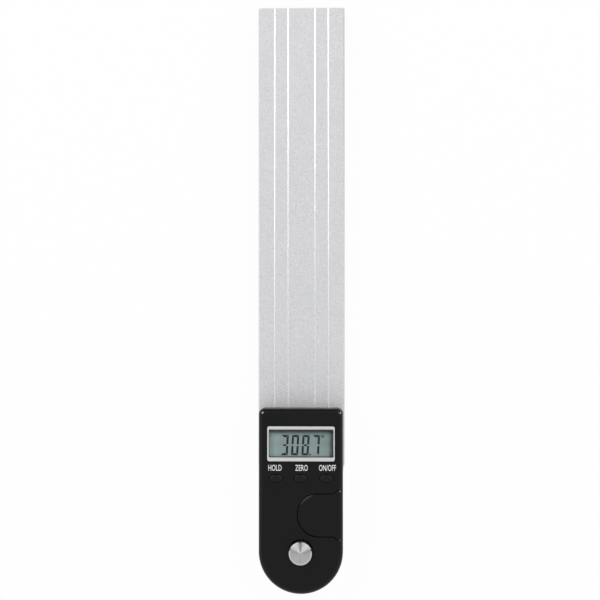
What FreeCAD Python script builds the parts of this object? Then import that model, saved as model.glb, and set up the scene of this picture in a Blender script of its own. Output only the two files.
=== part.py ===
import FreeCAD, Part
import math
import os

V = FreeCAD.Vector

# Millimetres. The arms turn about the Z axis, point along +Y and lie with their backs at z = 0.

# Arms: two equal grooved bars, one above the other
arm_width = 32.0
arm_reach = 200.9
arm_thickness = 5.0
arm_chamfer = 0.4
arm_gap = 0.5
groove_pitch = 5.0
groove_steps = (-2, -1, 1, 2)
groove_width = 0.55
groove_depth = 0.3
neck_length = 24.8
neck_cutter_radius = 25.0

# Head housing, moulded, on the front arm
head_inset = 0.65
head_overhang = 0.15
wall = 1.6
edge_round = 1.7
corner_margin = 0.3
boss_half = 1.9
boss_merge = 0.5
boss_clearance = 0.25
lower_boss_angle = 35.0

# Button cell, its tub and contacts
cell_diameter = 11.6
cell_height = 5.4
cell_cap_inset = 0.9
cell_cap_step = 0.3
cell_headroom = 0.2
cell_inset = 8.785
well_clearance = 0.15
tub_wall = 1.2
tub_floor = 1.0
tub_gap = 0.3
shelf_thickness = 1.0
contact_height = 0.7
contact_thickness = 0.25
contact_width = 1.8
contact_slack = 0.2
contact_offset = 1.7
contact_reach = 3.6
contact_touch = 0.03
leaf_end_gap = 0.5

# Sliding cell cover
cell_side_room = 2.125
cell_pivot_room = 0.97
plate_thickness = 1.4
seam_gap = 0.2
ear_step = 1.13
ear_length = 2.25
ear_slope = 1.0
ear_drop = 5.4
rail_proud = 0.6
rail_width = 1.6
rail_depth = 0.9
rail_clearance = 0.1
rail_stop = 1.0

# Buttons and the snap domes under them
button_gap = 5.42
button_side_room = 1.25
button_columns = {"hold": -0.957, "zero": 0, "power": 1}
hole_half_length = 2.75
hole_half_height = 1.55
button_end_gap = 0.38
button_side_gap = 0.2
button_end_radius = 0.75
button_proud = 0.25
button_lip = 0.35
button_flange = 0.6
button_stem_half = 0.8
dome_half = 1.6
dome_top_half = 0.9
dome_height = 0.5
dome_thickness = 0.12
dome_touch = 0.03

# Display: bezel, window, liquid crystal cell, holder and contact strip
bezel_height = 12.75
bezel_lap = 0.35
bezel_side_bar = 0.75
bezel_end_bar = 1.1
bezel_corner = 0.7
bezel_proud = 0.4
bezel_depth = 2.5
bezel_edge = 0.2
bezel_bevel = 0.35
bezel_clearance = 0.05
window_thickness = 0.8
glass_thickness = 0.8
glass_ledge = 1.8
holder_gap = 3.05
holder_wall = 0.8
holder_clearance = 0.15
display_clearance = 0.1
strip_width = 1.3
strip_inset = 0.25
strip_end_inset = 1.0

# Circuit board and what it carries
board_drop = 0.6
board_thickness = 1.0
board_clearance = 0.35
lug_length = 3.0
lug_reach = 0.9
lug_height = 0.8
lug_touch = 0.03
chip_side = 6.0
chip_height = 0.9
chip_draft = 0.25
crystal_radius = 0.8
crystal_length = 5.0
crystal_offset = 8.0

# Countersunk screws from the back of the front arm into the housing
screw_radius = 1.0
screw_length = 8.6
screw_head_radius = 1.9
screw_head_height = 0.95
screw_clearance = 0.1
screw_slack = 0.02
screw_recess_width = 0.35
screw_recess_length = 1.9
screw_recess_depth = 0.6

# Pivot: shaft, bush and washers
journal_radius = 3.0
running_clearance = 0.04
bush_wall = 1.0
bush_fit = 0.02
bush_flange_half = 5.7
bush_flange = 1.4
bush_top_drop = 0.9
shaft_flange_radius = 6.0
shaft_flange = 1.4
shaft_key_radius = 3.5
shaft_key_flat = 3.0
shaft_end_flat = 2.1
shaft_end_radius = 2.5
thread_radius = 1.95
thread_clearance = 0.05
thrust_washer_width = 2.1

# Angle sensor: a patterned ring on each arm, face to face
sensor_thickness = 0.8
sensor_margin = 1.45
sensor_width = 1.9
sensor_fit = 0.1
tab_width = 5.0
tab_end = 11.7
cable_x = 6.5
cable_width = 4.0
cable_thickness = 0.2
cable_bend = 0.8
cable_lift = 0.2
cable_slot = 1.2
cable_end_inset = 1.0

# Lock knob, its keyed washer and bent spring
knob_diameter = 8.5
knob_rise = 4.0
knob_chamfer = 0.4
knob_clearance = 0.35
knob_cap = 1.3
clamp_washer_thickness = 0.8
clamp_washer_inset = 0.45
spring_height = 0.35
spring_thickness = 0.12
thread_end_room = 0.6

# One overrun past the faces that a cut opens
overrun = 1.0

# Levels
base_z = arm_thickness + arm_gap
head_z = base_z + arm_thickness
head_height = (tub_gap + tub_floor + contact_height + cell_height + cell_headroom
               + plate_thickness)
face_z = head_z + head_height
under_z = face_z - wall
well_z = head_z + tub_gap + tub_floor
cell_z = well_z + contact_height
plate_z = face_z - plate_thickness
shelf_z = plate_z - rail_depth
window_top = face_z - bezel_depth
lcd_top = window_top - window_thickness
lcd_bottom = lcd_top - 2 * glass_thickness
board_top = lcd_bottom - board_drop
board_bottom = board_top - board_thickness
bush_top = under_z - bush_top_drop
washer_z = bush_top + spring_height
knob_z = washer_z + clamp_washer_thickness
knob_top = face_z + knob_rise

# Plan sizes, from the pivot outwards
arm_half = arm_width / 2
head_half = arm_half - head_inset
cavity_half = head_half - wall
neck_radius = head_half - head_overhang
bush_radius = journal_radius + running_clearance + bush_wall
cover_half = cell_diameter / 2 + cell_side_room
ear_half = cover_half + ear_step
slot_half = cover_half + rail_proud + rail_clearance
shelf_half = slot_half + tub_wall
cell_distance = bush_radius + cell_pivot_room + shelf_half
cell_x = head_half - cell_inset
cell_y = math.sqrt(cell_distance ** 2 - cell_x ** 2)
well_radius = cell_diameter / 2 + well_clearance
tub_radius = well_radius + tub_wall
button_y = cell_y + cover_half + button_gap
button_pitch = cavity_half - hole_half_length - button_lip - button_side_room
holder_low = button_y + hole_half_height + button_lip + holder_gap
holder_half = cavity_half - holder_clearance
lcd_half = holder_half - holder_wall - display_clearance
lcd_low = holder_low + holder_wall + display_clearance
bezel_low = lcd_low + bezel_lap
bezel_high = bezel_low + bezel_height
lcd_high = bezel_high + bezel_lap
holder_high = lcd_high + display_clearance + holder_wall
bezel_half = lcd_half - bezel_lap
upper_boss_x = cavity_half - boss_half + boss_merge
upper_boss_y = holder_high + boss_clearance + boss_half
cavity_high = upper_boss_y + boss_half - boss_merge
head_high = cavity_high + wall
board_low = cell_y + shelf_half + board_clearance
board_high = cavity_high - board_clearance
knob_radius = knob_diameter / 2
knob_hole_radius = knob_radius + knob_clearance
thrust_washer_radius = journal_radius + running_clearance + thrust_washer_width
sensor_outer = upper_boss_x - screw_head_radius - sensor_margin
sensor_inner = sensor_outer - sensor_width


def box(x0, x1, y0, y1, z0, z1):
    return Part.makeBox(x1 - x0, y1 - y0, z1 - z0, V(x0, y0, z0))


def cylinder(x, y, radius, z0, z1):
    return Part.makeCylinder(radius, z1 - z0, V(x, y, z0))


def ring(outer, inner, z0, z1):
    return cylinder(0, 0, outer, z0, z1).cut(cylinder(0, 0, inner, z0, z1))


def prism(edges, z0, z1):
    face = Part.Face(Part.Wire(edges))
    face.translate(V(0, 0, z0))
    return face.extrude(V(0, 0, z1 - z0))


def yz_sheet(points, x_middle, width):
    """A flat outline of (y, z) points, extruded along X about x_middle."""
    corners = [V(x_middle - width / 2, y, z) for y, z in points]
    wire = Part.makePolygon(corners + corners[:1])
    return Part.Face(wire).extrude(V(width, 0, 0))


def edges_at(shape, z):
    """The edges that lie flat at the level z."""
    found = []
    for edge in shape.Edges:
        low, high = edge.BoundBox.ZMin, edge.BoundBox.ZMax
        if math.isclose(low, z, abs_tol=1e-6) and math.isclose(high, z, abs_tol=1e-6):
            found.append(edge)
    return found


def octagon(x, y, half, z0, z1):
    """An eight-sided prism whose flats lie `half` from its axis."""
    radius = half / math.cos(math.pi / 8)
    corners = []
    for step in range(8):
        turn = math.radians(22.5 + 45 * step)
        corners.append(V(x + radius * math.cos(turn), y + radius * math.sin(turn), z0))
    return Part.Face(Part.makePolygon(corners + corners[:1])).extrude(V(0, 0, z1 - z0))


def post(x, y, z0, z1):
    """A square moulded post round a screw."""
    return box(x - boss_half, x + boss_half, y - boss_half, y + boss_half, z0, z1)


def frustum(x, y, low_half, high_half, z0, z1):
    """A square block whose sides lean from low_half at z0 to high_half at z1."""
    block = Part.makeWedge(-low_half, 0, -low_half, -high_half, -high_half,
                           low_half, z1 - z0, low_half, high_half, high_half)
    block.rotate(V(0, 0, 0), V(1, 0, 0), 90)
    block.translate(V(x, y, z0))
    return block


def double_flat(radius, flat, z0, z1):
    """A round bar with two flats, each `flat` from its axis."""
    return cylinder(0, 0, radius, z0, z1).common(box(-flat, flat, -radius, radius, z0, z1))


def rounded_box(half_x, y0, y1, z0, z1, corner):
    low, high = -half_x, half_x
    lines = [
        Part.LineSegment(V(low + corner, y0, 0), V(high - corner, y0, 0)),
        Part.LineSegment(V(high, y0 + corner, 0), V(high, y1 - corner, 0)),
        Part.LineSegment(V(high - corner, y1, 0), V(low + corner, y1, 0)),
        Part.LineSegment(V(low, y1 - corner, 0), V(low, y0 + corner, 0)),
    ]
    centres = [(high - corner, y0 + corner, -45), (high - corner, y1 - corner, 45),
               (low + corner, y1 - corner, 135), (low + corner, y0 + corner, 225)]
    edges = []
    for line, (x, y, middle) in zip(lines, centres):
        edges.append(line.toShape())
        edges.append(arc(x, y, corner, middle - 45, middle + 45))
    return prism(edges, z0, z1)


def arc(x, y, radius, start, end):
    """A counter-clockwise arc in plan, angles in degrees."""
    points = []
    for angle in (start, (start + end) / 2, end):
        turn = math.radians(angle)
        points.append(V(x + radius * math.cos(turn), y + radius * math.sin(turn), 0))
    return Part.Arc(*points).toShape()


def line(x0, y0, x1, y1):
    return Part.LineSegment(V(x0, y0, 0), V(x1, y1, 0)).toShape()


# The arms

def arm_section(z):
    """The bar's cross section: chamfered edges, and V grooves in the front face."""
    top = z + arm_thickness
    points = [(-arm_half + arm_chamfer, z), (-arm_half, z + arm_chamfer),
              (-arm_half, top - arm_chamfer), (-arm_half + arm_chamfer, top)]
    for step in groove_steps:
        middle = step * groove_pitch
        points.append((middle - groove_width / 2, top))
        points.append((middle, top - groove_depth))
        points.append((middle + groove_width / 2, top))
    points += [(arm_half - arm_chamfer, top), (arm_half, top - arm_chamfer),
               (arm_half, z + arm_chamfer), (arm_half - arm_chamfer, z)]
    corners = [V(x, -arm_half, height) for x, height in points]
    return Part.Face(Part.makePolygon(corners + corners[:1]))


def arm_plan(z0, z1):
    """The bar's plan: square tip, and a neck milled down to a round end about the pivot."""
    step = arm_half - neck_radius
    rise = math.sqrt(step * (2 * neck_cutter_radius - step))
    turn = math.degrees(math.asin(rise / neck_cutter_radius))
    tip, root = arm_reach, neck_length
    centre = neck_radius + neck_cutter_radius
    edges = [
        arc(0, 0, neck_radius, 180, 360),
        line(neck_radius, 0, neck_radius, root),
        arc(centre, root, neck_cutter_radius, 180 - turn, 180),
        line(arm_half, root + rise, arm_half, tip - arm_chamfer),
        line(arm_half, tip - arm_chamfer, arm_half - arm_chamfer, tip),
        line(arm_half - arm_chamfer, tip, -arm_half + arm_chamfer, tip),
        line(-arm_half + arm_chamfer, tip, -arm_half, tip - arm_chamfer),
        line(-arm_half, tip - arm_chamfer, -arm_half, root + rise),
        arc(-centre, root, neck_cutter_radius, 0, turn),
        line(-neck_radius, root, -neck_radius, 0),
    ]
    return prism(edges, z0, z1)


def arm_blank(z):
    bar = arm_section(z).extrude(V(0, arm_half + arm_reach, 0))
    return bar.common(arm_plan(z, z + arm_thickness))


def cover_screw_places():
    """Upper pair in the housing's corners, lower pair beside the pivot."""
    turn = math.radians(lower_boss_angle)
    x, y = upper_boss_x * math.cos(turn), -upper_boss_x * math.sin(turn)
    return [(-upper_boss_x, upper_boss_y), (upper_boss_x, upper_boss_y), (-x, y), (x, y)]


def countersink(x, y, radius, head_radius, z):
    """A shank with a cone head that opens downwards at the level z."""
    cone = Part.makeCone(head_radius, radius, screw_head_height, V(x, y, z))
    return cone.fuse(cylinder(x, y, radius, z, z + screw_length))


def sensor_tab(grow, z0, z1):
    half = tab_width / 2 + grow
    return box(-cable_x - half, -cable_x + half, 0, tab_end + grow, z0, z1).cut(
        cylinder(0, 0, sensor_inner - grow, z0, z1))


def base_arm():
    arm = arm_blank(base_z)
    arm = arm.cut(cylinder(0, 0, bush_radius + bush_fit, base_z, head_z))
    recess_top = base_z + sensor_thickness
    arm = arm.cut(ring(sensor_outer + sensor_fit, sensor_inner - sensor_fit, base_z, recess_top))
    arm = arm.cut(sensor_tab(sensor_fit, base_z, recess_top))
    half = tab_width / 2
    arm = arm.cut(box(-cable_x - half, -cable_x + half, tab_end - cable_slot, tab_end, base_z, head_z))
    for x, y in cover_screw_places():
        arm = arm.cut(countersink(x, y, screw_radius + screw_clearance,
                                  screw_head_radius + 2 * screw_clearance, base_z))
    return arm


def swing_arm():
    arm = arm_blank(0)
    arm = arm.cut(cylinder(0, 0, shaft_flange_radius + bush_fit, 0, shaft_flange))
    arm = arm.cut(double_flat(shaft_key_radius + bush_fit, shaft_key_flat + bush_fit, 0, arm_thickness))
    floor = arm_thickness - sensor_thickness
    return arm.cut(ring(sensor_outer + sensor_fit, sensor_inner - sensor_fit, floor, arm_thickness))


# The housing and its sliding cover

def head_plan(inset, z0, z1):
    """Square top corners, straight sides and a round end about the pivot."""
    half, top = head_half - inset, head_high - inset
    corner = max(edge_round + corner_margin - inset, corner_margin)
    edges = [
        arc(0, 0, half, 180, 360),
        line(half, 0, half, top - corner),
        arc(half - corner, top - corner, corner, 0, 90),
        line(half - corner, top, -half + corner, top),
        arc(-half + corner, top - corner, corner, 90, 180),
        line(-half, top - corner, -half, 0),
    ]
    return prism(edges, z0, z1)


def head_block():
    """The housing's outer form, solid, with its front edge rounded all round in two flats."""
    block = head_plan(0, head_z, face_z)
    edges = edges_at(block, face_z)
    short = edge_round * math.tan(math.pi / 8)
    return block.makeChamfer(edge_round, short, edges).common(block.makeChamfer(short, edge_round, edges))


def cover_plan(grow, z0, z1):
    """The sliding cover's outline: a tongue, and ears that widen at the housing's side."""
    half, ear = cover_half + grow, ear_half + grow
    ear_x = head_half - ear_length
    jog_x = ear_x - ear_slope
    side = head_half + overrun
    edges = [
        arc(cell_x, cell_y, half, 90, 270),
        line(cell_x, cell_y - half, jog_x, cell_y - half),
        line(jog_x, cell_y - half, ear_x, cell_y - ear),
        line(ear_x, cell_y - ear, side, cell_y - ear),
        line(side, cell_y - ear, side, cell_y + ear),
        line(side, cell_y + ear, ear_x, cell_y + ear),
        line(ear_x, cell_y + ear, jog_x, cell_y + half),
        line(jog_x, cell_y + half, cell_x, cell_y + half),
    ]
    return prism(edges, z0, z1)


def cover_side(grow, x0):
    """The part of the housing's right wall that slides away with the cover."""
    half = ear_half + grow
    bottom = face_z - ear_drop - grow
    return box(x0, head_half + overrun, cell_y - half, cell_y + half, bottom, face_z)


def rails(proud, clearance, start):
    """Two straight bars under the tongue's edges, or the slots that they run in."""
    end = head_half - ear_length
    inner = cover_half - rail_width + rail_proud
    outer = cover_half + proud
    low, high = shelf_z + clearance, plate_z - clearance
    upper = box(start, end, cell_y + inner, cell_y + outer, low, high)
    lower = box(start, end, cell_y - outer, cell_y - inner, low, high)
    return upper.fuse(lower)


def battery_cover():
    skin = cover_plan(-seam_gap, plate_z, face_z)
    skin = skin.fuse(cover_side(-seam_gap, cavity_half + seam_gap))
    skin = skin.common(head_block())
    bars = rails(rail_proud, rail_clearance, cell_x)
    inner = cover_half - rail_width + rail_proud
    outer = cover_half - seam_gap
    end = head_half - ear_length
    for low, high in ((inner, outer), (-outer, -inner)):
        bars = bars.fuse(box(cell_x, end, cell_y + low, cell_y + high, shelf_z + rail_clearance, plate_z))
    return skin.fuse(bars).removeSplitter()


def cell_tub():
    """A shelf under the cover, and below it an eight-sided tub for the cell's well."""
    low = shelf_z - shelf_thickness
    shelf = octagon(cell_x, cell_y, shelf_half, low, under_z)
    shelf = shelf.fuse(box(cell_x, head_half, cell_y - shelf_half, cell_y + shelf_half, low, under_z))
    tub = octagon(cell_x, cell_y, tub_radius, head_z + tub_gap, shelf_z)
    return shelf.fuse(tub).common(head_plan(0, head_z, face_z))


def board_lugs():
    """Small lugs on the side walls, behind the circuit board's edges."""
    lugs = []
    top = board_bottom - lug_touch
    for y in (button_y, (lcd_low + lcd_high) / 2):
        low, high = y - lug_length / 2, y + lug_length / 2
        lugs.append(box(cavity_half - lug_reach, head_half - wall / 2, low, high, top - lug_height, top))
        lugs.append(box(wall / 2 - head_half, lug_reach - cavity_half, low, high, top - lug_height, top))
    return lugs


def contact_slots():
    """Ways through the tub's wall for the two contacts."""
    half = contact_width / 2 + contact_slack
    y0, y1 = cell_y, cell_y + tub_radius + overrun
    left, right = cell_x - contact_offset, cell_x + contact_offset
    low = box(left - half, left + half, y0, y1, well_z, cell_z)
    high = box(right - half, right + half, y0, y1, cell_z, shelf_z - shelf_thickness)
    return low.fuse(high)


def button_hole(x):
    """A lens of two arcs that meet in points at its ends."""
    a, b = hole_half_length, hole_half_height
    upper = Part.Arc(V(x - a, button_y, 0), V(x, button_y + b, 0), V(x + a, button_y, 0))
    lower = Part.Arc(V(x + a, button_y, 0), V(x, button_y - b, 0), V(x - a, button_y, 0))
    return prism([upper.toShape(), lower.toShape()], under_z - overrun, face_z + overrun)


def front_cover():
    shell = head_block()
    shell = shell.cut(head_plan(wall, head_z, under_z))
    inside = [cell_tub()] + board_lugs()
    for x, y in cover_screw_places():
        inside.append(post(x, y, head_z, under_z))
    shell = shell.fuse(inside)
    cuts = [
        cylinder(0, 0, knob_hole_radius, under_z, face_z),
        cylinder(cell_x, cell_y, well_radius, well_z, shelf_z),
        cover_plan(0, shelf_z, face_z),
        cover_side(0, cavity_half),
        rails(rail_proud + rail_clearance, 0, cell_x - rail_stop),
        contact_slots(),
        rounded_box(bezel_half + bezel_clearance, bezel_low - bezel_clearance,
                    bezel_high + bezel_clearance, under_z, face_z, bezel_corner),
    ]
    for x, y in cover_screw_places():
        cuts.append(octagon(x, y, screw_radius + screw_slack, head_z, base_z + screw_length + overrun))
    for column in button_columns.values():
        cuts.append(button_hole(column * button_pitch))
    for tool in cuts:
        shell = shell.cut(tool)
    return shell


def cover_screws():
    screws = []
    for x, y in cover_screw_places():
        screw = countersink(x, y, screw_radius, screw_head_radius, base_z + screw_clearance)
        half, width = screw_recess_length / 2, screw_recess_width / 2
        z0, z1 = base_z, base_z + screw_clearance + screw_recess_depth
        screw = screw.cut(box(x - half, x + half, y - width, y + width, z0, z1))
        screws.append(screw.cut(box(x - width, x + width, y - half, y + half, z0, z1)))
    return Part.makeCompound(screws)


# The display

def display_bezel():
    top = face_z + bezel_proud
    frame = rounded_box(bezel_half, bezel_low, bezel_high, window_top, top, bezel_corner)
    frame = frame.makeChamfer(bezel_edge, edges_at(frame, top))
    half, low, high = bezel_half - bezel_side_bar, bezel_low + bezel_end_bar, bezel_high - bezel_end_bar
    opening = box(-half, half, low, high, window_top, top)
    bevel = box(-half - bezel_bevel, half + bezel_bevel, low - bezel_bevel, high + bezel_bevel,
                top - bezel_bevel, top + bezel_bevel)
    bevel = bevel.makeChamfer(bezel_bevel, edges_at(bevel, top - bezel_bevel))
    return frame.cut(opening).cut(bevel)


def display_window():
    return box(-lcd_half, lcd_half, lcd_low, lcd_high, lcd_top, window_top)


def lcd_panel():
    """Two glasses. The front one is longer below, and its ledge carries the tracks."""
    seam = lcd_bottom + glass_thickness
    front = box(-lcd_half, lcd_half, lcd_low, lcd_high, seam, lcd_top)
    rear = box(-lcd_half, lcd_half, lcd_low + glass_ledge, lcd_high, lcd_bottom, seam)
    return front.fuse(rear)


def lcd_holder():
    inner = lcd_half + display_clearance
    frame = box(-holder_half, holder_half, holder_low, holder_high, board_top, under_z)
    return frame.cut(box(-inner, inner, lcd_low - display_clearance, lcd_high + display_clearance,
                         board_top, under_z))


def contact_strip():
    """Layered rubber between the board and the glass ledge."""
    half = lcd_half - strip_end_inset
    y = lcd_low + strip_inset
    return box(-half, half, y, y + strip_width, board_top, lcd_bottom + glass_thickness)


# The circuit board

def circuit_board():
    half = cavity_half - board_clearance
    board = box(-half, half, board_low, board_high, board_bottom, board_top)
    corner = upper_boss_x - boss_half - board_clearance
    low = upper_boss_y - boss_half - board_clearance
    for x0, x1 in ((-half, -corner), (corner, half)):
        board = board.cut(box(x0, x1, low, board_high, board_bottom, board_top))
    return board


def processor_chip():
    """A square moulded package on the board's back, its sides leaning in."""
    y, half = (lcd_low + lcd_high) / 2, chip_side / 2
    return frustum(0, y, half - chip_draft, half, board_bottom - chip_height, board_bottom)


def clock_crystal():
    y = (lcd_low + lcd_high) / 2
    can = Part.makeCylinder(crystal_radius, crystal_length,
                            V(crystal_offset, y - crystal_length / 2, board_bottom - crystal_radius),
                            V(0, 1, 0))
    return can


def snap_dome(column):
    """A four-sided pressed spring under one button."""
    x, t = column * button_pitch, dome_thickness
    outer = frustum(x, button_y, dome_half, dome_top_half, board_top, board_top + dome_height)
    return outer.cut(frustum(x, button_y, dome_half - t, dome_top_half - t,
                             board_top, board_top + dome_height - t))


def button_oval(x, long_half, short_half, z0, z1):
    """An oval of four arcs that run smoothly into each other."""
    small = button_end_radius
    reach = long_half - small
    large = (reach ** 2 + short_half ** 2 - small ** 2) / (2 * (short_half - small))
    drop = large - short_half
    turn = math.degrees(math.atan2(drop, reach))
    return prism([
        arc(x + reach, button_y, small, -turn, turn),
        arc(x, button_y - drop, large, turn, 180 - turn),
        arc(x - reach, button_y, small, 180 - turn, 180 + turn),
        arc(x, button_y + drop, large, 180 + turn, 360 - turn),
    ], z0, z1)


def button(column):
    """An oval cap with a flange under the face and a stem down to its dome."""
    x = column * button_pitch
    top, flange_z = face_z + button_proud, under_z - button_flange
    cap = button_oval(x, hole_half_length - button_end_gap, hole_half_height - button_side_gap, flange_z, top)
    length, height = hole_half_length + button_lip, hole_half_height + button_lip
    flange = box(x - length, x + length, button_y - height, button_y + height, flange_z, under_z)
    half, low = button_stem_half, board_top + dome_height + dome_touch
    stem = box(x - half, x + half, button_y - half, button_y + half, low, flange_z)
    return cap.fuse([flange, stem])


# The cell and its contacts

def battery_cell():
    radius = cell_diameter / 2
    can = cylinder(cell_x, cell_y, radius, cell_z + cell_cap_step, cell_z + cell_height)
    return can.fuse(cylinder(cell_x, cell_y, radius - cell_cap_inset, cell_z,
                             cell_z + cell_height / 2))


def battery_contact_negative():
    """A strip on the well's floor with a raised tongue, turned up to the board."""
    t = contact_thickness
    y0, y1 = cell_y - contact_reach, board_low + t
    floor_strip = yz_sheet([(y0, well_z), (y1 + t, well_z), (y1 + t, board_bottom), (y1, board_bottom),
                            (y1, well_z + t), (y0, well_z + t)], cell_x - contact_offset, contact_width)
    peak = cell_z - contact_touch
    tongue = yz_sheet([(y0, well_z), (y0 + t, well_z), (cell_y + t, peak - t), (cell_y, peak),
                       (y0, well_z + t)], cell_x - contact_offset, contact_width)
    return floor_strip.fuse(tongue)


def battery_contact_positive():
    """A leaf against the can's side, led to the board's front."""
    t = contact_thickness
    y0 = cell_y + cell_diameter / 2 + contact_touch
    y1 = board_low + board_clearance + contact_width / 2
    low, high = cell_z + leaf_end_gap, shelf_z - shelf_thickness - leaf_end_gap
    leaf = yz_sheet([(y0, low), (y0 + t, low), (y0 + t, board_top), (y1, board_top), (y1, board_top + t),
                     (y0 + t, board_top + t), (y0 + t, high), (y0, high)],
                    cell_x + contact_offset, contact_width)
    return leaf


# The pivot and the angle sensor

def pivot_bush():
    bore = journal_radius + running_clearance
    body = cylinder(0, 0, bush_radius, base_z, bush_top)
    flange = octagon(0, 0, bush_flange_half, head_z, head_z + bush_flange)
    return body.fuse(flange).cut(cylinder(0, 0, bore, base_z, bush_top))


def pivot_shaft():
    end_z = knob_top - knob_cap - thread_end_room
    shaft = cylinder(0, 0, shaft_flange_radius, 0, shaft_flange)
    return shaft.fuse([
        double_flat(shaft_key_radius, shaft_key_flat, 0, arm_thickness),
        cylinder(0, 0, journal_radius, arm_thickness, bush_top),
        double_flat(shaft_end_radius, shaft_end_flat, bush_top, knob_z),
        cylinder(0, 0, thread_radius, washer_z, end_z),
    ]).removeSplitter()


def thrust_washer():
    return ring(thrust_washer_radius, journal_radius + running_clearance, arm_thickness, base_z)


def encoder_rotor():
    return ring(sensor_outer, sensor_inner, arm_thickness - sensor_thickness, arm_thickness)


def encoder_stator():
    top = base_z + sensor_thickness
    return ring(sensor_outer, sensor_inner, base_z, top).fuse(sensor_tab(0, base_z, top)).removeSplitter()


def encoder_cable():
    """A flat ribbon: up through the front arm, along its top and up to the board."""
    rise_y = tab_end - cable_slot / 2
    run_z = head_z + cable_lift + cable_thickness / 2
    end_y = board_low + cable_end_inset
    start_z, r = base_z + sensor_thickness, cable_bend
    slant = r * math.sqrt(2) / 2
    points = [V(-cable_x, rise_y, start_z), V(-cable_x, rise_y, run_z - r),
              V(-cable_x, rise_y + r - slant, run_z - r + slant), V(-cable_x, rise_y + r, run_z),
              V(-cable_x, end_y - r, run_z), V(-cable_x, end_y - r + slant, run_z + r - slant),
              V(-cable_x, end_y, run_z + r), V(-cable_x, end_y, board_bottom)]
    path = Part.Wire([
        Part.LineSegment(points[0], points[1]).toShape(),
        Part.Arc(points[1], points[2], points[3]).toShape(),
        Part.LineSegment(points[3], points[4]).toShape(),
        Part.Arc(points[4], points[5], points[6]).toShape(),
        Part.LineSegment(points[6], points[7]).toShape(),
    ])
    half, t = cable_width / 2, cable_thickness / 2
    corners = [V(-cable_x - half, rise_y - t, start_z), V(-cable_x + half, rise_y - t, start_z),
               V(-cable_x + half, rise_y + t, start_z), V(-cable_x - half, rise_y + t, start_z)]
    section = Part.makePolygon(corners + corners[:1])
    return path.makePipeShell([section], True, False)


# The lock

def clamp_washer():
    z0, z1 = washer_z, knob_z
    disc = octagon(0, 0, knob_radius - clamp_washer_inset, z0, z1)
    return disc.cut(double_flat(shaft_end_radius + thread_clearance,
                                shaft_end_flat + thread_clearance, z0, z1))


def bent_spring():
    """A spring washer bent across its middle, which lifts the keyed washer when the knob is slackened."""
    half, rise = bush_radius, spring_height - spring_thickness
    low, high = bush_top, bush_top + spring_thickness
    corners = [V(-half, -half, low), V(0, -half, low + rise), V(half, -half, low),
               V(half, -half, high), V(0, -half, high + rise), V(-half, -half, high)]
    bent = Part.Face(Part.makePolygon(corners + corners[:1])).extrude(V(0, 2 * half, 0))
    return bent.common(ring(half, journal_radius + running_clearance, low, high + rise))


def lock_knob():
    knob = cylinder(0, 0, knob_radius, knob_z, knob_top)
    knob = knob.makeChamfer(knob_chamfer, edges_at(knob, knob_top))
    return knob.cut(cylinder(0, 0, thread_radius + thread_clearance, knob_z, knob_top - knob_cap))


def build():
    pieces = {
        "base_arm": base_arm(),
        "swing_arm": swing_arm(),
        "front_cover": front_cover(),
        "cover_screws": cover_screws(),
        "battery_cover": battery_cover(),
        "battery_cell": battery_cell(),
        "battery_contact_negative": battery_contact_negative(),
        "battery_contact_positive": battery_contact_positive(),
        "display_bezel": display_bezel(),
        "display_window": display_window(),
        "lcd_panel": lcd_panel(),
        "lcd_holder": lcd_holder(),
        "contact_strip": contact_strip(),
        "circuit_board": circuit_board(),
        "processor_chip": processor_chip(),
        "clock_crystal": clock_crystal(),
        "pivot_shaft": pivot_shaft(),
        "pivot_bush": pivot_bush(),
        "thrust_washer": thrust_washer(),
        "encoder_rotor": encoder_rotor(),
        "encoder_stator": encoder_stator(),
        "encoder_cable": encoder_cable(),
        "clamp_washer": clamp_washer(),
        "bent_spring": bent_spring(),
        "lock_knob": lock_knob(),
    }
    for name, column in button_columns.items():
        pieces[name + "_button"] = button(column)
        pieces[name + "_dome"] = snap_dome(column)
    return pieces


os.makedirs("parts", exist_ok=True)
for node, shape in build().items():
    shape.exportStep("parts/" + node + ".step")
    print(node, "solids", len(shape.Solids), "valid", shape.isValid(), "mm3", round(shape.Volume, 3))
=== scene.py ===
import math

import bmesh
import bpy
import numpy as np
from mathutils import Matrix, Vector


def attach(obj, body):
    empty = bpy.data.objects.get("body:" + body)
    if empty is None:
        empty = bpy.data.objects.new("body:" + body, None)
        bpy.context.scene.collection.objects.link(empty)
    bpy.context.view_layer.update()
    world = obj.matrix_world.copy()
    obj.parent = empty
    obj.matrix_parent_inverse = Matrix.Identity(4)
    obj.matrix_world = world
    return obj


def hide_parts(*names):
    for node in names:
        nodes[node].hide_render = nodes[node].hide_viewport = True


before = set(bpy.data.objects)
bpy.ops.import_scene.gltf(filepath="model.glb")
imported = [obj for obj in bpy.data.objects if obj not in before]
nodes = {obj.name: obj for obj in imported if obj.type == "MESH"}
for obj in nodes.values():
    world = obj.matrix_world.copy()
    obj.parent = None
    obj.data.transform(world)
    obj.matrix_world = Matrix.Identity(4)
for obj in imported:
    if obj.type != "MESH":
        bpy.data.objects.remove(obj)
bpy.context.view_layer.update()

scene = bpy.context.scene
scene.view_settings.view_transform = "Standard"

# The camera stands half a metre above the middle of the closed tool, a little to its right and a
# little towards its head, and looks down on it through an 84 mm lens.
lens = bpy.data.cameras.new("camera")
lens.sensor_width = 36
lens.lens = 84
camera = bpy.data.objects.new("camera", lens)
scene.collection.objects.link(camera)
aim = Matrix.Translation((-0.000558, 0.091788, 0.0105))
lean = Matrix.Rotation(0.036, 4, "Y") @ Matrix.Rotation(0.0262, 4, "X")
camera.matrix_world = aim @ lean @ Matrix.Translation((0, 0, 0.5194))
scene.camera = camera


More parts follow.
